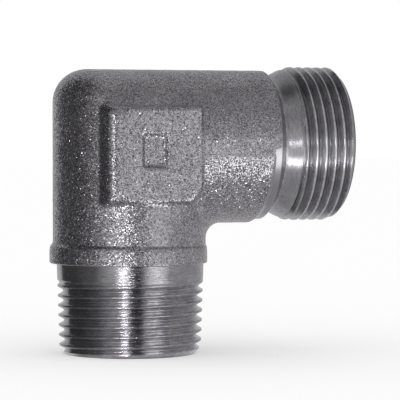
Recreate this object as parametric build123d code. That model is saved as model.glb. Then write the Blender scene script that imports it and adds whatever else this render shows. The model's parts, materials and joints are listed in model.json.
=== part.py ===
import os
from math import radians, sqrt, tan

from build123d import *

# A 90 degree stud elbow for a 16 mm hydraulic tube, forged in one piece and turned at
# both ends. Z runs up the stud from the middle of its end face, X along the tube arm.

# Places of the two ends.
crossing_height = 32.1
tube_reach = 32.8
stud_length = 13.9

# Forged body. The dies sat a little low and to the left of the turned axes.
forging_diameter = 23.56
forging_offset_x = -0.12
forging_offset_z = -0.46
outer_corner_radius = 4.5
inner_corner_radius = 2.7

# Collar that seats the stud end. Above its rim it sweeps in to the leg in an S.
collar_diameter = 24.24
collar_offset_x = -0.28
collar_height = 2.0
collar_flare = 1.5
collar_chamfer = 0.3

# Wrench pads, one on each side, measured from the crossing of the axes. They stand out
# from the round body by least where it bulges to them. The rim and the foot of the left
# wall are rounded by a share of that wall's height, the foot by no more than its radius.
pad_height = 0.22
pad_left = 6.65
pad_right = 8.1
pad_top = 5.85
pad_bottom = 9.0
pad_corner_x = 1.7
pad_corner_z = 2.1
pad_upper_corner_radius = 1.4
pad_lower_corner_radius = 0.8
pad_right_rim_share = 0.9
pad_rim_share = 0.4
pad_foot_share = 0.5
pad_foot_radius = 1.1

# Bare recess in the front pad.
recess_width = 4.1
recess_height = 5.3
recess_depth = 0.3
recess_centre_x = 0.5
recess_drop = 1.05
recess_corner_radius = 0.6

# Tapered stud thread, as the plain cone that its crests lie on.
stud_gauge_diameter = 22.0
stud_gauge_height = 5.0
stud_taper = 1 / 16
stud_end_chamfer = 0.9
stud_chamfer_length = 1.1

# Straight thread of the tube end, as the plain rod that its crests lie on.
tube_thread_diameter = 24.0
tube_thread_start = 25.3
tube_end_chamfer = 0.95

# Turned land and neck between the forging and the tube end.
land_diameter = 23.52
land_start = 19.6
land_lead_angle = 32.0
neck_diameter = 20.9
neck_start = 21.75
neck_width = 0.35
neck_flank_angle = 50.0

# Passage for the oil, and the socket and cone that take the tube and its ring.
flow_diameter = 12.0
flow_mouth_chamfer = 0.3
drill_tip_angle = 118.0
tube_diameter = 16.0
tube_clearance = 0.2
socket_depth = 8.5
cone_mouth_diameter = 18.1
cone_angle = 24.0

same_place = 0.01
forging_radius = forging_diameter / 2
across_flats = forging_diameter + 2 * pad_height
pad_wall_height = across_flats / 2 - sqrt(forging_radius**2 - (pad_left + forging_offset_x) ** 2)
forging_axis_height = crossing_height + forging_offset_z
collar_top = stud_length + collar_height
turning_clearance = 3.0


def onMitre(edge):
    # The mitre plane leans at 45 degrees through the crossing of the forged axes.
    points = [edge @ 0, edge @ 0.5, edge @ 1]
    gaps = [(p.X - forging_offset_x) + (p.Z - forging_axis_height) for p in points]
    return max(abs(gap) for gap in gaps) < same_place


def forgedElbow():
    # A round section carried up the leg and out along the arm, mitred at the corner.
    route = Polyline(
        (forging_offset_x, 0, stud_length),
        (forging_offset_x, 0, forging_axis_height),
        (neck_start, 0, forging_axis_height),
    )
    section = Plane((forging_offset_x, 0, stud_length)) * Circle(forging_radius)
    return sweep(section, path=route, transition=Transition.RIGHT)


def nearestVertex(face, x, z):
    return face.vertices().sort_by(lambda v: (v.X - x) ** 2 + (v.Z - z) ** 2)[0]


def wrenchPads():
    # One block through the body makes both pads, flat at each side.
    low = crossing_height - pad_bottom
    high = crossing_height + pad_top
    outline = Polyline(
        (-pad_left, low),
        (pad_right - pad_corner_x, low),
        (pad_right, low + pad_corner_z),
        (pad_right, high),
        (-pad_left, high),
        close=True,
    )
    face = Plane.XZ * make_face(outline)
    face = fillet(nearestVertex(face, -pad_left, high), pad_upper_corner_radius)
    face = fillet(nearestVertex(face, pad_right - pad_corner_x, low), pad_lower_corner_radius)
    face = fillet(nearestVertex(face, pad_right, low + pad_corner_z), pad_lower_corner_radius)
    return extrude(face, amount=across_flats / 2, both=True)


def uprightEdges(body, x):
    # Straight edges of the pads' side walls at one place along X, the foot of a wall first.
    found = [edge for edge in body.edges().filter_by(Axis.Z) if abs(edge.center().X - x) < same_place]
    front = sorted((e for e in found if e.center().Y < 0), key=lambda e: -e.center().Y)
    back = sorted((e for e in found if e.center().Y > 0), key=lambda e: e.center().Y)
    return front, back


def padRims(body, x):
    front, back = uprightEdges(body, x)
    return [front[-1], back[-1]]


def padFeet(body, x):
    front, back = uprightEdges(body, x)
    return [front[0], back[0]]


def roundedForging():
    # The corner and the inside of the bend are rolled round before the pads' own edges.
    body = forgedElbow() + wrenchPads()
    outer = [edge for edge in body.edges() if onMitre(edge) and (edge @ 0.5).X < forging_offset_x]
    body = body.fillet(outer_corner_radius, outer)
    inner = [edge for edge in body.edges() if onMitre(edge) and (edge @ 0.5).X > forging_offset_x]
    body = body.fillet(inner_corner_radius, inner)
    body = body.fillet(pad_right_rim_share * pad_height, padRims(body, pad_right))
    body = body.fillet(pad_rim_share * pad_wall_height, padRims(body, -pad_left))
    foot = min(pad_foot_share * pad_wall_height, pad_foot_radius)
    return body.fillet(foot, padFeet(body, -pad_left))


def collar():
    # A short flange under the leg, turned flat below. Its flare leaves the rim upright and
    # ends upright at the leg's own left side.
    radius = collar_diameter / 2
    end = forging_radius + collar_offset_x - forging_offset_x
    flare_top = collar_top + collar_flare
    flare = Spline((radius, collar_top), (end, flare_top), tangents=((0, 1), (0, 1)))
    sides = Polyline(
        (end, flare_top),
        (0, flare_top),
        (0, stud_length),
        (radius - collar_chamfer, stud_length),
        (radius, stud_length + collar_chamfer),
        (radius, collar_top),
    )
    face = Plane.XZ * make_face(flare + sides)
    return Pos(collar_offset_x, 0, 0) * revolve(face, Axis.Z)


def studDiameter(height):
    return stud_gauge_diameter + (height - stud_gauge_height) * stud_taper


def studEnd():
    # Shank and thread share one cone, with a chamfer at its tip.
    outline = Polyline(
        (0, 0),
        (studDiameter(0) / 2 - stud_end_chamfer, 0),
        (studDiameter(stud_chamfer_length) / 2, stud_chamfer_length),
        (studDiameter(stud_length) / 2, stud_length),
        (0, stud_length),
        close=True,
    )
    return revolve(Plane.XZ * make_face(outline), Axis.Z)


def tubeAxis():
    return Axis((0, 0, crossing_height), (1, 0, 0))


def turnedOutline(points):
    # Points are given as a place along the tube axis and a radius from it.
    placed = [(along, crossing_height + radius) for along, radius in points]
    return Plane.XZ * make_face(Polyline(*placed, close=True))


def tubeEnd():
    radius = tube_thread_diameter / 2
    neck = neck_diameter / 2
    outline = turnedOutline([
        (0, 0),
        (0, neck),
        (neck_start + neck_width, neck),
        (tube_thread_start, radius),
        (tube_reach - tube_end_chamfer, radius),
        (tube_reach, radius - tube_end_chamfer),
        (tube_reach, 0),
    ])
    return revolve(outline, tubeAxis())


def turnedAway():
    # What the lathe takes off the forged arm: down to the land, then down the neck's flank.
    land = land_diameter / 2
    neck = neck_diameter / 2
    flank = (land - neck) / tan(radians(neck_flank_angle))
    outer = forging_radius + turning_clearance
    lead = (outer - land) / tan(radians(land_lead_angle))
    outline = turnedOutline([
        (land_start - lead, outer),
        (land_start, land),
        (neck_start - flank, land),
        (neck_start, neck),
        (neck_start, outer),
    ])
    return revolve(outline, tubeAxis())


def drilledBore(depth, diameter):
    # A bore along +Z from the origin, ending in the drill's point.
    radius = diameter / 2
    tip = radius / tan(radians(drill_tip_angle / 2))
    outline = Polyline((0, 0), (radius, 0), (radius, depth), (0, depth + tip), close=True)
    return revolve(Plane.XZ * make_face(outline), Axis.Z)


def passages():
    up = drilledBore(crossing_height, flow_diameter)
    along = Pos(tube_reach, 0, crossing_height) * Rot(0, -90, 0) * drilledBore(tube_reach, flow_diameter)
    mouth = Cone(
        flow_diameter / 2 + flow_mouth_chamfer,
        flow_diameter / 2,
        flow_mouth_chamfer,
        align=(Align.CENTER, Align.CENTER, Align.MIN),
    )
    return up + along + mouth


def tubeSocket():
    # The tube stands on the step, and its ring wedges into the cone at the mouth.
    socket = (tube_diameter + tube_clearance) / 2
    mouth = cone_mouth_diameter / 2
    cone_length = (mouth - socket) / tan(radians(cone_angle / 2))
    outline = turnedOutline([
        (tube_reach - socket_depth, 0),
        (tube_reach - socket_depth, socket),
        (tube_reach - cone_length, socket),
        (tube_reach, mouth),
        (tube_reach, 0),
    ])
    return revolve(outline, tubeAxis())


def padRecess():
    outline = RectangleRounded(recess_width, recess_height, recess_corner_radius)
    place = Plane(
        (recess_centre_x, -across_flats / 2, crossing_height - recess_drop),
        x_dir=(1, 0, 0),
        z_dir=(0, -1, 0),
    )
    return extrude(place * outline, amount=-recess_depth)


def elbowBody():
    body = roundedForging() + collar() - turnedAway()
    body = body + studEnd() + tubeEnd()
    return body - passages() - tubeSocket() - padRecess()


os.makedirs("parts", exist_ok=True)
export_step(elbowBody(), "parts/elbow_body.step")
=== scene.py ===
import json
import math

import bmesh
import bpy
import numpy as np
from mathutils import Matrix, Vector


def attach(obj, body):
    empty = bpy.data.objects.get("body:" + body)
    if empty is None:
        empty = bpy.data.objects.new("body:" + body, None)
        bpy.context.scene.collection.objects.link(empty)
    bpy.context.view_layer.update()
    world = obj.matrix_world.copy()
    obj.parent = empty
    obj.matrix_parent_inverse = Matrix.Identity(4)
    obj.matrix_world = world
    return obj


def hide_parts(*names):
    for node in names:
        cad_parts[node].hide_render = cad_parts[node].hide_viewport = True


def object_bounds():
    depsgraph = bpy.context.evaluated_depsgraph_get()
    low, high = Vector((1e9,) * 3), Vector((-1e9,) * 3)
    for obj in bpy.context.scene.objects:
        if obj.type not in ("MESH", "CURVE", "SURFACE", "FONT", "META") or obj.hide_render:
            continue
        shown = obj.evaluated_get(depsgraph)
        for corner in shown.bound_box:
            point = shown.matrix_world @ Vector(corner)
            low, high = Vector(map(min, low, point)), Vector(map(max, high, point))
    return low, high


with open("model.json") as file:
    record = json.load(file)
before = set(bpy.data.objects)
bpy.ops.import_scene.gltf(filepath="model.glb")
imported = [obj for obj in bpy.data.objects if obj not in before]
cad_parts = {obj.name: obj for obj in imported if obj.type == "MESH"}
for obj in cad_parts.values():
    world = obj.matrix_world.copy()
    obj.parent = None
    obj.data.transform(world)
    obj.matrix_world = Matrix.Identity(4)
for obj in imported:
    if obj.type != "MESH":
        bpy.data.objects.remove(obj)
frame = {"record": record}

# Hydraulic elbow adapter: a blasted steel forging with two turned ends. The shapes are
# worked out in millimetres here and put into the meshes in metres.
cadBox = [list(corner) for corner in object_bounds()]
mounts = {mount["name"]: mount for mount in frame["record"]["mounts"]}
millimetre = 0.001

fit = {
    "crossingHeight": mounts["tube_socket"]["pos_m"][2] / millimetre,
    "reach": cadBox[1][0] / millimetre,
    "boreRadius": mounts["tube_port"]["dims"]["r_mm"],
    "drillPoint": 118.0,   # degrees
    "socketRadius": mounts["tube_socket"]["dims"]["r_mm"],
    "tubeThreadRadius": mounts["tube_thread"]["dims"]["r_mm"],
    "padPlane": -mounts["front_wrench_pad"]["pos_m"][1] / millimetre,
    "shoulder": 13.9,      # underside of the collar
    "neckStart": 21.75,    # where the neck behind the tube thread begins
    "neckRadius": 10.45,
}
# In metres: points nearer than this are one point, and shorter edges than this go.
meshing = {"onePoint": 2e-7, "shortEdge": 1e-7}


def smooth(value):
    # 3t^2 - 2t^3 between 0 and 1
    value = np.clip(value, 0.0, 1.0)
    return value * value * (3.0 - 2.0 * value)


def along(x, y, z):
    # unit vectors from three arrays
    vector = np.stack(np.broadcast_arrays(x, y, z), axis=-1).astype(float)
    length = np.maximum(np.linalg.norm(vector, axis=-1, keepdims=True), 1e-9)
    return vector / length


def closedMesh(name, rows, marks, sharpAngle):
    # rows[i, j] is a point in mm. The last column repeats the first and the last row repeats
    # the first, so the skin closes once its doubles are merged. Each point takes a mark to
    # its material: 1 on the forging's machined faces, and on the ends its depth in the thread.
    count, wide = rows.shape[:2]
    index = np.arange(count * wide).reshape(count, wide)
    quads = np.stack([index[:-1, :-1], index[:-1, 1:], index[1:, 1:], index[1:, :-1]], axis=-1)
    mesh = bpy.data.meshes.new(name)
    mesh.from_pydata((rows.reshape(-1, 3) * millimetre).tolist(), [], quads.reshape(-1, 4).tolist())
    layer = mesh.attributes.new("mark", "FLOAT", "POINT")
    layer.data.foreach_set("value", marks.ravel())
    skin = bmesh.new()
    skin.from_mesh(mesh)
    bmesh.ops.remove_doubles(skin, verts=skin.verts, dist=meshing["onePoint"])
    bmesh.ops.dissolve_degenerate(skin, edges=skin.edges, dist=meshing["shortEdge"])
    if skin.calc_volume(signed=True) < 0:
        bmesh.ops.reverse_faces(skin, faces=skin.faces)
    openEdges = sum(1 for edge in skin.edges if len(edge.link_faces) != 2)
    skin.to_mesh(mesh)
    skin.free()
    mesh.polygons.foreach_set("use_smooth", np.ones(len(mesh.polygons), dtype=bool))
    mesh.set_sharp_from_angle(angle=math.radians(sharpAngle))
    piece = bpy.data.objects.new(name, mesh)
    bpy.context.scene.collection.objects.link(piece)
    triangles = sum(len(face.vertices) - 2 for face in mesh.polygons)
    print(name, "has", triangles, "triangles and", openEdges, "open edges")
    return piece


# The forged body
forging = {
    "legRadius": 11.75,
    "armRadius": 11.84,
    "axisX": -0.13,        # the dies sat a little to the left of the turned axes, and low
    "axisHeight": fit["crossingHeight"] - 0.45,
    "outerCorner": 5.0,
    "innerCorner": 2.7,
    "drawnIn": 0.0125,     # keeps the crests of the waves at the sizes above
    # waves left by the dies: height in mm, then two sines, each with its turns in radians
    # per mm along x, y and z and the angle that it starts at
    "waves": [
        (0.0075, (1.9, 0, 0.7, 0), (0, -0.9, 1.3, 1.0)),
        (0.00525, (0, 1.1, 3.1, 0.4), (2.7, -1.7, 0, 2.0)),
    ],
    "sharpAngle": 50.0,
}
collar = {
    "radius": 12.12,
    "axisX": -0.28,
    "chamfer": 0.12,
    "top": 17.5,           # where its flare has run out in the leg
    # the flare is a slow sweep and a steep one: share of it, how far under the top, length
    "flare": [(0.4, 0.0, 1.9), (0.6, 0.45, 0.7)],
    "sunk": 0.15,          # how far under the leg's skin it runs out
    "fall": 0.5,           # and how steeply it shrinks from there up
    "hollow": 0.3,         # round where it meets the leg
}
pad = {   # the outline of the flat, whose walls lean out below it
    "left": -6.5, "right": 7.8,
    "top": fit["crossingHeight"] + 5.3, "bottom": fit["crossingHeight"] - 8.65,
    "clipX": 1.55, "clipZ": 2.0,
    "draft": 0.3, "wallFoot": 8.5,
    "upperCorner": 1.4, "lowerCorner": 0.8,
    "rim": 0.28, "leftRim": 1.6,
    "foot": 0.8, "leftFoot": 0.75,
    "leftFrom": -3.0, "leftRun": 2.0,   # where the left wall's rounds take over from the others
}
recess = {
    "x": 0.5, "z": fit["crossingHeight"] - 1.05, "wide": 4.1, "high": 5.3, "deep": 0.55,
    "corner": 0.7, "rim": 0.1, "slope": 0.95,
}
land = {
    "start": 19.6,
    "radius": 11.76,
    "leadAngle": 32.0,     # degrees, of the slope that leads in to it
    "flankAngle": 50.0,    # and of the slope down to the neck
    "cutOut": 3.0,         # how far out over the land the lathe's cut reaches
}
rings = {
    # heights over the shoulder, closer together where the collar flares
    "leg": [0, 0.02, 0.06, 0.1, 0.15, 0.3, 0.8, 1.2, 1.6, 1.8, 2.0, 2.15, 2.3, 2.4, 2.5, 2.6, 2.7, 2.8,
            2.9, 3.0, 3.1, 3.2],
    # places along the arm as first, last and step, closer together over the land
    "arm": [(14.55, 19.9, 0.22), (19.95, 21.7, 0.085)],
    "armEnd": [21.7, fit["neckStart"]],
    "bend": 208, "boreBend": 34,
    "columns": 280,
    "crowding": 0.15,      # brings columns together in front and behind, where the pads are
    "skinBetween": (6.5, 20.0), "boreBetween": (1.0, 14.0),
    "halvings": 26,
}


def rolledCorner(first, second, radius):
    # Two fields of (distance, direction) cut by each other, with a round of that radius
    # rolled along the corner: with u and v the distances plus the radius, the point is
    # a*n1 + b*n2 from the round's axis, and its distance is |a*n1 + b*n2| - radius.
    (d1, n1), (d2, n2) = first, second
    lean = np.clip((n1 * n2).sum(-1), -0.999, 0.9995)   # directions are never quite parallel
    u, v = d1 + radius, d2 + radius
    a = (u - lean * v) / (1 - lean ** 2)
    b = (v - lean * u) / (1 - lean ** 2)
    rolled = (a > 0) & (b > 0) & (u > 0) & (v > 0)
    spoke = a[..., None] * n1 + b[..., None] * n2
    length = np.maximum(np.linalg.norm(spoke, axis=-1), 1e-9)
    distance = np.where(rolled, length - radius, np.maximum(d1, d2))
    plain = np.where((d1 > d2)[..., None], n1, n2)
    return distance, np.where(rolled[..., None], spoke / length[..., None], plain)


def insideOut(field):
    return -field[0], -field[1]


def rolledHollow(first, second, radius):
    # Two fields joined, with a hollow of that radius rolled along the valley.
    return insideOut(rolledCorner(insideOut(first), insideOut(second), radius))


def collarRadius(z):
    # The collar's lower chamfer, its rim, and its flare up into the leg: the radius less
    # spread * (1 - the sum of share * smooth((top - under - z) / length)).
    spread = collar["radius"] - forging["legRadius"] + collar["sunk"]
    flare = sum(share * smooth((collar["top"] - under - z) / length)
                for share, under, length in collar["flare"])
    chamfer = collar["radius"] - collar["chamfer"] + (z - fit["shoulder"])
    above = np.maximum(z - collar["top"], 0)
    return np.minimum(collar["radius"] - spread * (1 - flare) - collar["fall"] * above, chamfer)


def roundForging(x, y, z):
    # A leg and an arm of round section, mitred with a rolled corner outside, hollow inside,
    # and the collar round the foot of the leg.
    dx, dz = x - forging["axisX"], z - forging["axisHeight"]
    leg, arm = forging["legRadius"], forging["armRadius"]
    outX, outZ = np.minimum(dx, 0), np.maximum(dz, 0)
    legHalf = np.hypot(outX, y) - leg, along(outX, y, 0 * z)
    armHalf = np.hypot(outZ, y) - arm, along(0 * x, y, outZ)
    shell = rolledCorner(legHalf, armHalf, forging["outerCorner"])
    legLong = np.hypot(dx, y) - leg, along(dx, y, 0 * z)
    armLong = np.hypot(dz, y) - arm, along(0 * x, y, dz)
    bend = rolledHollow(legLong, armLong, forging["innerCorner"])
    outside = shell[0] > bend[0]
    elbow = np.where(outside, shell[0], bend[0]), np.where(outside[..., None], shell[1], bend[1])
    cx = x - collar["axisX"]
    ring = np.hypot(cx, y) - collarRadius(z), along(cx, y, 0 * z)
    return rolledHollow(elbow, ring, collar["hollow"])


def flat(x, y, z, normal, point):
    # a half space: (p - point) . normal
    normal = np.array(normal, dtype=float)
    normal /= np.linalg.norm(normal)
    reach = (x - point[0]) * normal[0] + (y - point[1]) * normal[1] + (z - point[2]) * normal[2]
    return reach, np.broadcast_to(normal, reach.shape + (3,))


def sideOf(y):
    # -1 in front of the plane through both axes, else 1
    return np.sign(y) + (y == 0)


def padWall(x, y, z, outX, outZ, edgeX, edgeZ):
    # A wall that leans out by the draft, from its edge on the flat down to its foot in the
    # round body: (p - edge) . out + draft * (|y| - plane), over sqrt(1 + draft^2).
    length = math.sqrt(1 + pad["draft"] ** 2)
    reach = (x - edgeX) * outX + (z - edgeZ) * outZ + pad["draft"] * (
        np.maximum(np.abs(y), pad["wallFoot"]) - fit["padPlane"])
    return reach / length, along(outX + 0 * x, pad["draft"] * sideOf(y), outZ + 0 * z)


def leftwards(x, plain, left):
    # the plain value over most of the pad, and the left one at its left wall
    return plain + (left - plain) * smooth((pad["leftFrom"] - x) / pad["leftRun"])


def wrenchPad(x, y, z):
    # A flat-topped block with its outline's corners and its rims rolled round.
    left = padWall(x, y, z, -1, 0, pad["left"], 0)
    right = padWall(x, y, z, 1, 0, pad["right"], 0)
    top = padWall(x, y, z, 0, 1, 0, pad["top"])
    bottom = padWall(x, y, z, 0, -1, 0, pad["bottom"])
    slant = math.hypot(pad["clipX"], pad["clipZ"])
    clipOut = pad["clipZ"] / slant, -pad["clipX"] / slant
    clip = padWall(x, y, z, *clipOut, pad["right"], pad["bottom"] + pad["clipZ"])
    outline = rolledCorner(left, top, pad["upperCorner"])
    outline = rolledCorner(outline, right, pad["rim"])
    outline = rolledCorner(outline, clip, pad["lowerCorner"])
    outline = rolledCorner(outline, bottom, pad["lowerCorner"])
    face = np.abs(y) - fit["padPlane"], along(0 * x, sideOf(y), 0 * z)
    return rolledCorner(outline, face, leftwards(x, pad["rim"], pad["leftRim"]))


def padRecess(x, y, z):
    # A shallow bare panel sunk in the front pad. Its walls lean, as a stamp's do.
    front = -fit["padPlane"]
    left, right = [
        flat(x, y, z, (sign, recess["slope"], 0), (recess["x"] + sign * recess["wide"] / 2, front, 0))
        for sign in (-1, 1)
    ]
    bottom, top = [
        flat(x, y, z, (0, recess["slope"], sign), (0, front, recess["z"] + sign * recess["high"] / 2))
        for sign in (-1, 1)
    ]
    outline = rolledCorner(left, bottom, recess["corner"])
    outline = rolledCorner(outline, right, recess["corner"])
    outline = rolledCorner(outline, top, recess["corner"])
    floor = flat(x, y, z, (0, 1, 0), (0, recess["deep"] - fit["padPlane"], 0))
    return rolledCorner(outline, floor, recess["rim"])


def dieWaves(x, y, z):
    # the sum of height * sin(turns1 . p + start1) * sin(turns2 . p + start2)
    total = 0
    for height, *sines in forging["waves"]:
        for turnX, turnY, turnZ, start in sines:
            height = height * np.sin(turnX * x + turnY * y + turnZ * z + start)
        total = total + height
    return total


def forgedSkin(x, y, z):
    # The forging with its pads and recess, and a slight waviness left by the dies.
    foot = leftwards(x, pad["foot"], pad["leftFoot"])
    body = rolledHollow(roundForging(x, y, z), wrenchPad(x, y, z), foot)
    distance, direction = rolledCorner(body, insideOut(padRecess(x, y, z)), recess["rim"])
    return distance + forging["drawnIn"] + dieWaves(x, y, z), direction


def latheCut(x, y, z):
    # What the lathe leaves of the arm: a sloping lead-in, the land, then the neck's flank. A
    # slope is sin(angle) * (x - its start) + cos(angle) * (the height over the land).
    radial = np.hypot(y, z - fit["crossingHeight"])
    over = radial - land["radius"]
    leadAngle, flankAngle = math.radians(land["leadAngle"]), math.radians(land["flankAngle"])
    lead = math.sin(leadAngle) * (x - land["start"]) + math.cos(leadAngle) * over
    flankStart = fit["neckStart"] - (land["radius"] - fit["neckRadius"]) / math.tan(flankAngle)
    flank = math.sin(flankAngle) * (x - flankStart) + math.cos(flankAngle) * over
    wayOff = land["radius"] + land["cutOut"] - radial
    return np.maximum(np.minimum(np.minimum(lead, over), wayOff), flank)


def elbowField(x, y, z):
    # the forging's outer skin, marked where it is machined
    body = forgedSkin(x, y, z)[0]
    cut = latheCut(x, y, z)
    return np.maximum(body, cut), (cut > body) | (z < fit["shoulder"] + collar["chamfer"])


def boreField(x, y, z):
    # Two drilled holes with pointed ends that meet at the crossing. With r the distance from
    # the drill's axis, a point is cos(tip) * (r - radius) + sin(tip) * (what lies past it).
    radius = fit["boreRadius"]
    dz = z - fit["crossingHeight"]
    tip = math.radians(fit["drillPoint"] / 2)
    up, out = np.hypot(x, y), np.hypot(dz, y)
    upHole = np.maximum(up - radius, math.cos(tip) * (up - radius) + math.sin(tip) * dz)
    outHole = np.maximum(out - radius, math.cos(tip) * (out - radius) - math.sin(tip) * x)
    return np.minimum(upHole, outHole), np.zeros(x.shape, dtype=bool)


def bentRings(field, axisX, axisHeight, legRows, bendRows, armRows, between):
    # Section planes stand across the leg, fan round the pivot of the bend, and then cross
    # the arm. On each, a ray at angle t = u + crowding * sin 2u meets the skin where the
    # field is 0, which is found by halving the stretch that it lies in.
    pivotX = forging["axisX"] + forging["legRadius"] + forging["innerCorner"]
    pivotZ = forging["axisHeight"] - forging["armRadius"] - forging["innerCorner"]
    lean = np.linspace(0, math.pi / 2, bendRows)[1:-1]
    onLeg = (pivotX - axisX) * np.tan(lean) <= axisHeight - pivotZ
    fanX = np.where(onLeg, axisX, pivotX - (axisHeight - pivotZ) / np.tan(lean))
    fanZ = np.where(onLeg, pivotZ + (pivotX - axisX) * np.tan(lean), axisHeight)
    legs = np.append(legRows[legRows < pivotZ], pivotZ)
    arms = np.append(pivotX, armRows[armRows > pivotX])
    centreX = np.concatenate([np.full(len(legs), axisX), fanX, arms])[:, None]
    centreZ = np.concatenate([legs, fanZ, np.full(len(arms), axisHeight)])[:, None]
    outX = np.concatenate([np.full(len(legs), -1.0), -np.cos(lean), np.zeros(len(arms))])[:, None]
    outZ = np.concatenate([np.zeros(len(legs)), np.sin(lean), np.ones(len(arms))])[:, None]
    u = np.linspace(0, 2 * math.pi, rings["columns"] + 1)
    turn = u + rings["crowding"] * np.sin(2 * u)
    rayX, rayZ = outX * np.cos(turn), outZ * np.cos(turn)
    rayY = np.broadcast_to(np.sin(turn), rayX.shape)

    def onRays(reach):
        return centreX + reach * rayX, reach * rayY, centreZ + reach * rayZ

    near, far = np.full(rayX.shape, between[0]), np.full(rayX.shape, between[1])
    for halving in range(rings["halvings"]):
        middle = (near + far) / 2
        inside = field(*onRays(middle))[0] < 0
        near, far = np.where(inside, middle, near), np.where(inside, far, middle)
    marks = field(*onRays(near))[1].astype(float)
    rows = np.stack(onRays(near), axis=-1)
    rows[:, -1], marks[:, -1] = rows[:, 0], marks[:, 0]
    return rows, marks


def forgedBody():
    legRows = fit["shoulder"] + np.array(rings["leg"])
    armRows = np.concatenate([np.arange(*stretch) for stretch in rings["arm"]] + [rings["armEnd"]])
    outer, machined = bentRings(elbowField, forging["axisX"], forging["axisHeight"], legRows, rings["bend"],
                                armRows, rings["skinBetween"])
    inner, plain = bentRings(boreField, 0.0, fit["crossingHeight"], legRows[:1], rings["boreBend"],
                             armRows[-1:], rings["boreBetween"])
    rows = np.concatenate([outer, inner[::-1], outer[:1]])
    marks = np.concatenate([machined, plain[::-1] + 1.0, machined[:1]])
    return closedMesh("forged_body", rows, marks, forging["sharpAngle"])


# The turned ends
thread = {
    "pitch": 1.5,
    "depth": 0.84,
    "rootFrom": 0.75, "rootTo": 1.25,   # of the depth, where the V gives way to a round root
    # rows across one turn, in mm from its crest, closer together in the root
    "rows": np.array([-0.13, 0.0, 0.13, 0.28, 0.43, 0.56, 0.66, 0.75, 0.84, 0.94, 1.07, 1.22]),
    "spareTurns": 3,
    "columns": 192,
    "sharpAngle": 62.0,
}
stud = {
    "gaugeRadius": 11.0, "gaugeHeight": 5.0,
    "taper": 1 / 32,       # of the radius
    "endChamfer": 0.9, "chamferLength": 1.1,
    "crestStart": 0.70,    # height of the crest on the +X side
    "crestFlat": 0.13,     # half the width of the crest
    # the height where the thread has run out, and the length and curve of its run-out
    "runOut": 11.35, "runOutLength": 1.3, "runOutPower": 0.8,
    "boreChamfer": 0.3, "boreMiddle": 7.0,
    "mouthRing": 0.05, "endRing": 0.04,   # rings this near an edge keep it crisp
}
tube = {
    "neckWidth": 0.35,
    "riseEnd": 25.3, "riseRings": [22.6, 23.2, 23.8],
    "endChamfer": 0.95,
    "crestStart": 23.95,   # place of the crest on the +Y side
    "crestFlat": 0.10,
    "fadeIn": 24.15, "fadeLength": 0.45,   # where the thread starts, and over what length
    "neckMark": 0.65,      # the plain neck takes the painted shade of a flank
    "coneMouth": 9.05, "socketDepth": 8.5,
    "coneAngle": 12.0,     # degrees from the axis
    "neckRing": 0.03, "edgeRing": 0.04, "coneRing": 0.06, "boreRing": 0.05,
}


def threadDepth(place, crestFlat):
    # A 60 degree V with a narrow crest. With t the flank's depth over the full depth, the
    # root eases in as 1 - (rootTo - t)^2 past t = rootFrom.
    pitch, depth = thread["pitch"], thread["depth"]
    offset = np.abs((place + pitch / 2) % pitch - pitch / 2)
    t = np.clip((offset - crestFlat) * math.sqrt(3) / depth, 0, thread["rootTo"])
    return depth * np.where(t < thread["rootFrom"], t, 1 - (thread["rootTo"] - t) ** 2)


def studCrest(z):
    return stud["gaugeRadius"] + (z - stud["gaugeHeight"]) * stud["taper"]


def studRadius(angle, z):
    # The tapered crest, less the thread, which runs out under the shank, and the chamfer.
    place = z - stud["crestStart"] - thread["pitch"] * angle / (2 * math.pi)
    fade = np.clip((stud["runOut"] - z) / stud["runOutLength"], 0, 1) ** stud["runOutPower"]
    threaded = studCrest(z) - fade * threadDepth(place, stud["crestFlat"])
    endRadius = studCrest(0) - stud["endChamfer"]
    slope = (studCrest(stud["chamferLength"]) - endRadius) / stud["chamferLength"]
    return np.minimum(threaded, endRadius + slope * z)


def tubeRadius(angle, x):
    # The neck, its rise to the crest, the thread that starts there, and the end's chamfer.
    radius = fit["tubeThreadRadius"]
    start = fit["neckStart"] + tube["neckWidth"]
    rise = (radius - fit["neckRadius"]) / (tube["riseEnd"] - start)
    plain = np.minimum(radius, fit["neckRadius"] + rise * np.maximum(x - start, 0))
    place = x - tube["crestStart"] - thread["pitch"] * angle / (2 * math.pi)
    fade = smooth((x - tube["fadeIn"]) / tube["fadeLength"])
    threaded = plain - fade * threadDepth(place, tube["crestFlat"])
    return np.minimum(threaded, radius - tube["endChamfer"] + fit["reach"] - x)


def helixRows(start, end, phase, angle):
    # Rows at the thread's own places, sheared by a pitch a turn and held between the ends.
    pitch, spare = thread["pitch"], thread["spareTurns"]
    turns = np.arange(-spare, math.ceil((end - start) / pitch) + spare)
    rows = (turns[:, None] * pitch + thread["rows"][None, :]).ravel()
    places = rows[:, None] + start + pitch * angle[None, :] / (2 * math.pi)
    return np.clip(places + phase % pitch, start, end)


def ringRows(pairs, angle):
    # plain rings, each a pair of its place and its radius
    places, radii = np.array(pairs, dtype=float).T
    shape = (len(pairs), len(angle))
    return np.broadcast_to(places[:, None], shape), np.broadcast_to(radii[:, None], shape)


def threadMarks(crest, radius, plainRows):
    # how deep in the thread each point lies, 0 on the crest and the plain rows, 1 at the root
    marks = np.clip((crest - radius) / thread["depth"], 0, 1)
    marks = np.concatenate([marks, np.zeros((plainRows, marks.shape[1]))])
    marks[:, -1] = marks[:, 0]
    return marks


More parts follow.
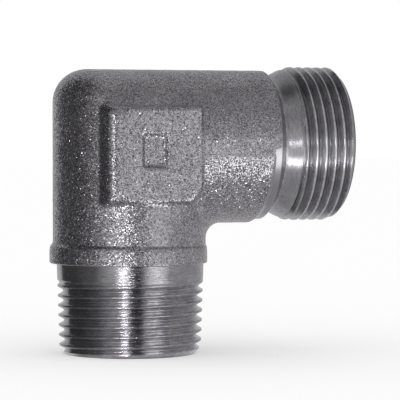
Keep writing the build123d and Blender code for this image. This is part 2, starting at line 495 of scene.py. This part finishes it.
def studEnd():
    angle = np.linspace(0, 2 * math.pi, thread["columns"] + 1)
    shoulder, bore, chamfer = fit["shoulder"], fit["boreRadius"], stud["boreChamfer"]
    height = helixRows(0, shoulder, stud["crestStart"], angle)
    radius = studRadius(angle, height)
    mouth, beside, endRadius = bore + chamfer, stud["mouthRing"], radius[0, 0]
    innerZ, innerR = ringRows([
        (shoulder, radius[-1, 0]),
        (shoulder, bore),
        (stud["boreMiddle"], bore),
        (chamfer + beside, bore),
        (chamfer, bore),
        (beside, mouth - beside),
        (0, mouth),
        (0, mouth + beside),
        (0, endRadius - stud["endRing"]),
        (0, endRadius),
    ], angle)
    marks = threadMarks(studCrest(height), radius, len(innerZ))
    height, radius = np.concatenate([height, innerZ]), np.concatenate([radius, innerR])
    rows = np.stack([radius * np.cos(angle), radius * np.sin(angle), height], axis=-1)
    return closedMesh("stud_end", rows, marks, thread["sharpAngle"])


def tubeEnd():
    angle = np.linspace(0, 2 * math.pi, thread["columns"] + 1)
    reach, neckStart, neck = fit["reach"], fit["neckStart"], fit["neckRadius"]
    start, beside = neckStart + tube["neckWidth"], tube["neckRing"]
    neckPlaces = [neckStart, start - beside, start + beside] + tube["riseRings"]
    neckX, neckR = ringRows([(x, tubeRadius(0, x)) for x in neckPlaces], angle)
    threadX = helixRows(tube["fadeIn"], reach, tube["crestStart"] - tube["fadeIn"], angle)
    outerX = np.concatenate([neckX, threadX])
    outerR = np.concatenate([neckR, tubeRadius(angle, threadX)])
    socket, bore, mouth, edge = fit["socketRadius"], fit["boreRadius"], tube["coneMouth"], tube["edgeRing"]
    slope = math.tan(math.radians(tube["coneAngle"]))
    step = reach - tube["socketDepth"]
    innerX, innerR = ringRows([
        (reach, fit["tubeThreadRadius"] - tube["endChamfer"] - edge),
        (reach, mouth + edge),
        (reach, mouth),
        (reach - tube["coneRing"], mouth - tube["coneRing"] * slope),
        (reach - (mouth - socket) / slope, socket),
        (step + edge, socket),
        (step, socket),
        (step, socket - edge),
        (step, bore + edge),
        (step - tube["boreRing"], bore),
        (neckStart, bore),
        (neckStart, neck),
    ], angle)
    marks = threadMarks(fit["tubeThreadRadius"], outerR, len(innerX))
    marks[:len(neckX)] = tube["neckMark"]
    place, radius = np.concatenate([outerX, innerX]), np.concatenate([outerR, innerR])
    rows = np.stack([place, radius * np.cos(angle), fit["crossingHeight"] + radius * np.sin(angle)], axis=-1)
    return closedMesh("tube_end", rows, marks, thread["sharpAngle"])


forgedPiece = forgedBody()
print("forged body made")
studPiece = studEnd()
tubePiece = tubeEnd()
print("turned ends made")


# The materials
# Dark and light patches of the plating: where each is reached in the noise, and its colour.
steel = {
    "forged": [(0.35, "#adaab0"), (0.65, "#bcb9be")],
    "turned": [(0.35, "#a29fa5"), (0.6, "#b1b0b3")],
}
finish = {
    "facet": 0.13,         # mm across one facet of the blasted skin, which shows as about a pixel
    "lean": (0.24, 1.8),   # how far a facet's normal leans: most facets, and the rare steep ones
    "rare": 4.0,           # power that makes the steep ones rare
    "speckle": 0.7,        # how much lighter or darker one facet is
    "forgedRough": 0.25,
    "landRough": 0.24,     # machined faces of the forging
    "forgedCloud": (4.0, 3.0), "turnedCloud": (2.5, 4.0),   # mm across a patch, and its detail
    "noiseSpan": (0.3, 0.7),   # noise mostly stays between these
    # mm. A fine feed is about 0.05 mm a turn: its rings are drawn about twice as far apart and
    # several times as deep as real ones, so that they show.
    "ring": 0.1, "landRing": 0.12,
    "ringDepth": 0.03, "landRingDepth": 0.01,
    "ringLong": 0.02,      # how much slower a ring changes round the axis than along it
    "dash": 0.12,          # mm, lighter and darker dashes of the tool, which are shorter
    "dashLong": 0.15,
    "streak": 0.26,        # how much lighter or darker one dash is
    "spread": 0.9,         # anisotropy along the axis
    "quarterTurn": 0.25,   # turns the anisotropy from round the axis to along it
}
# Each end: its axis, its roughness in the plating's patches, and how light it is painted by depth in the
# thread, from crest to root: a painted highlight on the stud's flanks and on the tube's crests, and painted
# shade in the roots of both.
studFinish = {
    "axis": "Z", "rough": (0.17, 0.22),
    "thread": [(0.0, 1.0), (0.12, 1.0), (0.3, 1.45), (0.75, 1.45), (1.0, 0.95)],
}
tubeFinish = {
    "axis": "X", "rough": (0.26, 0.31),
    "thread": [(0.0, 2.0), (0.05, 2.0), (0.14, 1.35), (0.65, 1.17), (1.0, 0.55)],
}


def linearColour(code):
    # sRGB hex to linear: c / 12.92 below 0.04045, else ((c + 0.055) / 1.055) ^ 2.4
    parts = [int(code[i:i + 2], 16) / 255 for i in (1, 3, 5)]
    return [c / 12.92 if c <= 0.04045 else ((c + 0.055) / 1.055) ** 2.4 for c in parts] + [1.0]


def placeStops(elements, stops):
    # the stops of a colour ramp, each a place and a grey or a colour
    while len(elements) < len(stops):
        elements.new(0.5)
    for element, (place, shade) in zip(elements, stops):
        element.position = place
        element.color = shade if isinstance(shade, list) else (shade, shade, shade, 1.0)


def addNode(tree, kind, settings=None, inputs=None):
    # A node with its settings, where stops are those of a colour ramp. Each input is given a
    # value, another node's output, or a node, which stands for its first output.
    node = tree.nodes.new(kind)
    for name, value in (settings or {}).items():
        if name == "stops":
            placeStops(node.color_ramp.elements, value)
        else:
            setattr(node, name, value)
    for name, value in (inputs or {}).items():
        if isinstance(value, bpy.types.Node):
            value = value.outputs[0]
        if isinstance(value, bpy.types.NodeSocket):
            tree.links.new(value, node.inputs[name])
        else:
            node.inputs[name].default_value = value
    return node


def newMaterial(name):
    material = bpy.data.materials.new(name)
    material.use_nodes = True
    material.node_tree.nodes.clear()
    return material, material.node_tree


def metalShader(tree, inputs):
    shader = addNode(tree, "ShaderNodeBsdfPrincipled", inputs={"Metallic": 1.0, **inputs})
    addNode(tree, "ShaderNodeOutputMaterial", inputs={"Surface": shader})


def platingCloud(tree, places, size, detail):
    # noise for the patches of the plating, size mm across
    return addNode(tree, "ShaderNodeTexNoise", inputs={
        "Vector": places, "Scale": 1 / (size * millimetre), "Detail": detail})


def platingColour(tree, cloud, patches):
    stops = [(place, linearColour(code)) for place, code in patches]
    return addNode(tree, "ShaderNodeValToRGB", {"stops": stops}, {"Fac": cloud})


def latheLines(tree, places, axis, ringLong, step):
    # fine rings left by the tool: noise that changes quickly along the axis alone
    stretch = [1.0 if letter == axis else ringLong for letter in "XYZ"]
    mapped = addNode(tree, "ShaderNodeMapping", inputs={"Vector": places, "Scale": stretch})
    return addNode(tree, "ShaderNodeTexNoise", {"noise_dimensions": "3D"}, {
        "Vector": mapped, "Scale": 1 / (step * millimetre), "Detail": 3.0, "Roughness": 0.6})


def blastedForging():
    # Shot-blasted and plated steel forging: a dull grey of small facets, each with its own
    # lean, that sparkle where they catch the lamp. Its machined faces show lathe lines.
    material, tree = newMaterial("shotBlastedSteelForging")
    places = addNode(tree, "ShaderNodeTexCoord").outputs["Object"]
    machined = addNode(tree, "ShaderNodeAttribute", {"attribute_name": "mark"}).outputs["Fac"]
    facets = addNode(tree, "ShaderNodeTexVoronoi", {"feature": "F1"}, {
        "Vector": places, "Scale": 1 / (finish["facet"] * millimetre)})
    cloud = platingCloud(tree, places, *finish["forgedCloud"])
    colour = platingColour(tree, cloud, steel["forged"])
    apart = addNode(tree, "ShaderNodeSeparateColor", inputs={"Color": facets.outputs["Color"]})
    shade = addNode(tree, "ShaderNodeMapRange", inputs={
        "Value": apart.outputs["Blue"], "To Min": 1 - finish["speckle"], "To Max": 1 + finish["speckle"]})
    speckle = addNode(tree, "ShaderNodeMix", inputs={"Factor": machined, "A": shade, "B": 1.0})
    speckled = addNode(tree, "ShaderNodeVectorMath", {"operation": "SCALE"}, {0: colour, "Scale": speckle})
    roughness = addNode(tree, "ShaderNodeMix", inputs={
        "Factor": machined, "A": finish["forgedRough"], "B": finish["landRough"]})
    # each facet's own random colour leans its normal
    centred = addNode(tree, "ShaderNodeVectorMath", {"operation": "SUBTRACT"}, {
        0: facets.outputs["Color"], 1: (0.5, 0.5, 0.5)})
    chance = addNode(tree, "ShaderNodeTexWhiteNoise", {"noise_dimensions": "3D"}, {
        "Vector": facets.outputs["Position"]}).outputs["Value"]
    steep = addNode(tree, "ShaderNodeMath", {"operation": "POWER"}, {0: chance, 1: finish["rare"]})
    lean = addNode(tree, "ShaderNodeMapRange", inputs={
        "Value": steep, "To Min": finish["lean"][0], "To Max": finish["lean"][1]})
    step = addNode(tree, "ShaderNodeVectorMath", {"operation": "SCALE"}, {0: centred, "Scale": lean})
    normal = addNode(tree, "ShaderNodeNewGeometry").outputs["Normal"]
    leaned = addNode(tree, "ShaderNodeVectorMath", {"operation": "ADD"}, {0: step, 1: normal})
    facetNormal = addNode(tree, "ShaderNodeVectorMath", {"operation": "NORMALIZE"}, {0: leaned})
    lined = addNode(tree, "ShaderNodeBump", inputs={
        "Height": latheLines(tree, places, "X", finish["ringLong"], finish["landRing"]),
        "Strength": 0.4, "Distance": finish["landRingDepth"] * millimetre})
    # a Mix node has its vectors at inputs 4 and 5 and its vector result at output 1
    surface = addNode(tree, "ShaderNodeMix", {"data_type": "VECTOR"}, {
        "Factor": machined, 4: facetNormal, 5: lined}).outputs[1]
    metalShader(tree, {"Base Color": speckled, "Roughness": roughness, "Normal": surface})
    return material


def turnedSteel(name, end):
    # Steel turned on a lathe and plated: brighter, with fine rings across the axis that
    # spread what it mirrors along the axis, and lighter and darker dashes of the tool.
    material, tree = newMaterial(name)
    places = addNode(tree, "ShaderNodeTexCoord").outputs["Object"]
    depth = addNode(tree, "ShaderNodeAttribute", {"attribute_name": "mark"}).outputs["Fac"]
    cloud = platingCloud(tree, places, *finish["turnedCloud"])
    colour = platingColour(tree, cloud, steel["turned"])
    low, high = finish["noiseSpan"]
    # painted highlight and painted shade by depth in the thread, from crest to root
    cut = addNode(tree, "ShaderNodeValToRGB", {"stops": end["thread"]}, {"Fac": depth})
    paintedThreadShade = addNode(tree, "ShaderNodeVectorMath", {"operation": "MULTIPLY"}, {0: colour, 1: cut})
    streak = addNode(tree, "ShaderNodeMapRange", inputs={
        "Value": latheLines(tree, places, end["axis"], finish["dashLong"], finish["dash"]),
        "From Min": low, "From Max": high,
        "To Min": 1 - finish["streak"], "To Max": 1 + finish["streak"]})
    streaked = addNode(tree, "ShaderNodeVectorMath", {"operation": "SCALE"}, {0: paintedThreadShade, "Scale": streak})
    roughness = addNode(tree, "ShaderNodeMapRange", inputs={
        "Value": cloud, "From Min": low, "From Max": high,
        "To Min": end["rough"][0], "To Max": end["rough"][1]})
    lined = addNode(tree, "ShaderNodeBump", inputs={
        "Height": latheLines(tree, places, end["axis"], finish["ringLong"], finish["ring"]),
        "Strength": 1.0, "Distance": finish["ringDepth"] * millimetre})
    ringWay = addNode(tree, "ShaderNodeTangent", {"direction_type": "RADIAL", "axis": end["axis"]})
    metalShader(tree, {
        "Base Color": streaked, "Roughness": roughness, "Normal": lined, "Tangent": ringWay,
        "Anisotropic": finish["spread"], "Anisotropic Rotation": finish["quarterTurn"]})
    return material


forgedPiece.data.materials.append(blastedForging())
studPiece.data.materials.append(turnedSteel("turnedSteelStud", studFinish))
tubePiece.data.materials.append(turnedSteel("turnedSteelTubeEnd", tubeFinish))
for piece in (forgedPiece, studPiece, tubePiece):
    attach(piece, "root")
    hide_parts("elbow_body")
print("materials made")


# The camera
view = {
    "azimuth": -17.88, "elevation": 1.6,   # degrees
    "distance": 337.4,                     # mm from the crossing of the axes
    "right": 10.723, "up": -8.623,         # and mm that the camera is moved beside that line
    "lens": 198.0, "sensor": 36.0,
    "clipStart": 0.01,                     # metres
}


def aimCamera():
    a, e = math.radians(view["azimuth"]), math.radians(view["elevation"])
    back = Vector((math.sin(a) * math.cos(e), -math.cos(a) * math.cos(e), math.sin(e)))
    right = Vector((math.cos(a), math.sin(a), 0.0))
    up = back.cross(right)
    place = back * view["distance"] + right * view["right"] + up * view["up"]
    place += Vector((0, 0, fit["crossingHeight"]))
    camera = bpy.data.objects.new("camera", bpy.data.cameras.new("camera"))
    camera.data.lens = view["lens"]
    camera.data.sensor_width = view["sensor"]
    camera.data.clip_start = view["clipStart"]
    turned = Matrix((right, up, back)).transposed().to_4x4()
    camera.matrix_world = Matrix.Translation(place * millimetre) @ turned
    bpy.context.scene.collection.objects.link(camera)
    bpy.context.scene.camera = camera
    return back, right


towards, sideways = aimCamera()


# The light and the floor
light = {
    "level": 1.19,
    # how bright the room is round the object, by degrees from the side that is seen
    "round": [(-180, 0.5), (-138, 0.5), (-131, 0.06), (-88, 0.07), (-58, 0.14), (-34, 0.42), (-19, 0.64),
              (-10, 0.82), (-3, 0.8), (2, 0.07), (15, 0.02), (23, 0.03), (27, 0.5), (35, 0.72), (44, 0.54),
              (52, 0.5), (62, 0.43), (145, 0.38), (152, 0.5), (180, 0.5)],
    # and by degrees of height, as a factor
    "high": [(-90, 0.75), (-45, 0.9), (-25, 1.0), (0, 1.0), (12, 0.87), (35, 0.71), (65, 0.62), (90, 0.5)],
    # towards the white sheet below, the room is the same all round
    "polar": [(-90, 1.0), (-62, 1.0), (-48, 0.5), (-35, 0.0), (0, 0.0), (90, 0.0)],
    "pole": 0.33,          # and this bright
    # lamps: degrees round, degrees up, width across in degrees, strength
    "lamps": [(-6, 1, 4, 0.16), (-9, -28, 8, 0.38), (46, -20, 30, 0.27)],
    "plain": 0.9,          # what a surface that isn't polished gets from the room
}
sheet = {
    "half": 3.0,           # metres from its middle to its side
    "paper": (0.8, 0.8, 0.8, 1.0),
    "glow": 0.3,           # to the camera alone
}


def lookingAlong(turn, height):
    # unit vector so many degrees round from the side that is seen and so many up
    turn, height = math.radians(turn), math.radians(height)
    heading = Vector((towards.x, towards.y, 0)).normalized()
    level = heading * math.cos(turn) + sideways * math.sin(turn)
    return level * math.cos(height) + Vector((0, 0, math.sin(height)))


def studioWorld():
    # The room that the steel mirrors: one ramp round the object times one up its height.
    # The camera itself sees plain white, and what isn't polished gets plain light.
    world = bpy.data.worlds.new("studio")
    world.use_nodes = True
    tree = world.node_tree
    tree.nodes.clear()
    way = addNode(tree, "ShaderNodeTexCoord").outputs["Generated"]
    aside, ahead, upward = [
        addNode(tree, "ShaderNodeVectorMath", {"operation": "DOT_PRODUCT"},
                {0: way, 1: line}).outputs["Value"]
        for line in (lookingAlong(90, 0), lookingAlong(0, 0), Vector((0, 0, 1)))
    ]
    # -180 to 180 degrees round, and -90 to 90 up, become 0 to 1 on the ramps
    turn = addNode(tree, "ShaderNodeMath", {"operation": "ARCTAN2"}, {0: aside, 1: ahead})
    turnPlace = addNode(tree, "ShaderNodeMath", {"operation": "MULTIPLY_ADD"}, {
        0: turn, 1: 0.5 / math.pi, 2: 0.5})
    height = addNode(tree, "ShaderNodeMath", {"operation": "ARCSINE"}, {0: upward})
    heightPlace = addNode(tree, "ShaderNodeMath", {"operation": "MULTIPLY_ADD"}, {
        0: height, 1: 1 / math.pi, 2: 0.5})
    ramps = {}
    spans = {"round": (360, turnPlace), "high": (180, heightPlace), "polar": (180, heightPlace)}
    for name, (whole, place) in spans.items():
        stops = [((angle + whole / 2) / whole, value) for angle, value in light[name]]
        ramps[name] = addNode(tree, "ShaderNodeValToRGB", {"stops": stops}, {"Fac": place})
    glow = addNode(tree, "ShaderNodeMath", {"operation": "MULTIPLY"}, {0: ramps["round"], 1: ramps["high"]})
    glow = addNode(tree, "ShaderNodeMix", inputs={"Factor": ramps["polar"], "A": glow, "B": light["pole"]})
    room = addNode(tree, "ShaderNodeBackground", inputs={"Color": glow, "Strength": light["level"]})
    white = addNode(tree, "ShaderNodeBackground", inputs={"Color": (1, 1, 1, 1), "Strength": 1.0})
    plain = addNode(tree, "ShaderNodeBackground", inputs={"Color": (1, 1, 1, 1), "Strength": light["plain"]})
    path = addNode(tree, "ShaderNodeLightPath")
    matt = addNode(tree, "ShaderNodeMixShader", inputs={0: path.outputs["Is Diffuse Ray"], 1: room, 2: plain})
    seen = addNode(tree, "ShaderNodeMixShader", inputs={0: path.outputs["Is Camera Ray"], 1: matt, 2: white})
    addNode(tree, "ShaderNodeOutputWorld", inputs={"Surface": seen})
    bpy.context.scene.world = world


def studioLamps():
    for number, (turn, height, width, strength) in enumerate(light["lamps"]):
        lamp = bpy.data.lights.new("lamp%d" % number, "SUN")
        lamp.energy = strength * light["level"]
        lamp.angle = math.radians(width)
        holder = bpy.data.objects.new("lamp%d" % number, lamp)
        holder.rotation_euler = lookingAlong(turn, height).to_track_quat("Z", "Y").to_euler()
        bpy.context.scene.collection.objects.link(holder)


def whiteSheet():
    # Matt white paper: it takes a soft shadow and mirrors nothing. To the camera it glows
    # enough to look white, and in the steel the room shows through it.
    material, tree = newMaterial("whiteSheet")
    paper = addNode(tree, "ShaderNodeBsdfDiffuse", inputs={"Color": sheet["paper"]})
    path = addNode(tree, "ShaderNodeLightPath")
    glow = addNode(tree, "ShaderNodeEmission", inputs={"Strength": sheet["glow"]})
    dark = addNode(tree, "ShaderNodeEmission", inputs={"Strength": 0.0})
    seen = addNode(tree, "ShaderNodeMixShader", inputs={0: path.outputs["Is Camera Ray"], 1: dark, 2: glow})
    both = addNode(tree, "ShaderNodeAddShader", inputs={0: paper, 1: seen})
    clear = addNode(tree, "ShaderNodeBsdfTransparent")
    unseen = addNode(tree, "ShaderNodeMath", {"operation": "MAXIMUM"}, {
        0: path.outputs["Is Glossy Ray"], 1: path.outputs["Is Shadow Ray"]})
    surface = addNode(tree, "ShaderNodeMixShader", inputs={0: unseen, 1: both, 2: clear})
    addNode(tree, "ShaderNodeOutputMaterial", inputs={"Surface": surface})
    return material


def paleFloor():
    # the white sheet that the object stands on
    half = sheet["half"]
    corners = [(-half, -half, 0), (half, -half, 0), (half, half, 0), (-half, half, 0)]
    mesh = bpy.data.meshes.new("floor")
    mesh.from_pydata(corners, [], [(0, 1, 2, 3)])
    mesh.materials.append(whiteSheet())
    floor = bpy.data.objects.new("floor", mesh)
    bpy.context.scene.collection.objects.link(floor)


studioWorld()
studioLamps()
paleFloor()
bpy.context.scene.view_settings.view_transform = "Standard"
print("light and floor made")
